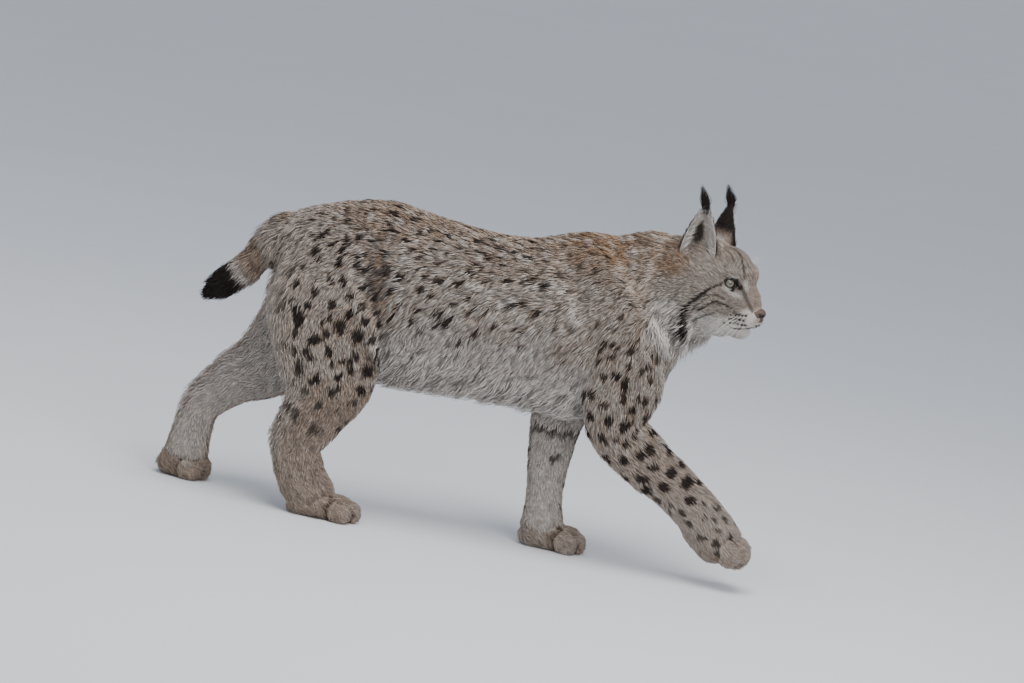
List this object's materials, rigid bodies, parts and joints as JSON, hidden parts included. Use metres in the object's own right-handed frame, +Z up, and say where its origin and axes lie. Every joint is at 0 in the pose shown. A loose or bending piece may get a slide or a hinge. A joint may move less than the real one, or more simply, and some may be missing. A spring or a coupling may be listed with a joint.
{
  "type": "eurasian lynx figure",
  "caption": "Life-size still model of a walking Eurasian lynx, long-legged, with a spotted coat, cheek ruff, tufted ears and a short black-tipped tail",
  "frame": {"origin": "on the floor under the middle of the whole model's box", "axes": "+X towards the head, along the body and the longest extent; +Y towards the animal's left side, the shortest extent; +Z up"},
  "size_m": [1.2312, 0.2844, 0.8095],
  "materials": {
    "coat": "dense grey-tan fur with dark spots",
    "coat_face": "short grey-brown fur with dark lines and a pale ruff",
    "coat_ear": "thin fur, black at the edge and the tuft",
    "coat_black": "black fur",
    "nose": "moist brownish nose leather",
    "eye": "clear cornea over a pale yellow-green iris"
  },
  "bodies": {
    "root": {"torso": "coat", "neck": "coat", "head": "coat_face", "tail": "coat", "tail_tip": "coat_black", "ear_left": "coat_ear", "ear_right": "coat_ear", "eye_left": "eye", "eye_right": "eye", "nose": "nose", "foreleg_left": "coat", "foreleg_right": "coat", "forepaw_left": "coat", "forepaw_right": "coat", "thigh_left": "coat", "thigh_right": "coat", "shank_left": "coat", "shank_right": "coat", "hindpaw_left": "coat", "hindpaw_right": "coat"}
  },
  "joints": []
}
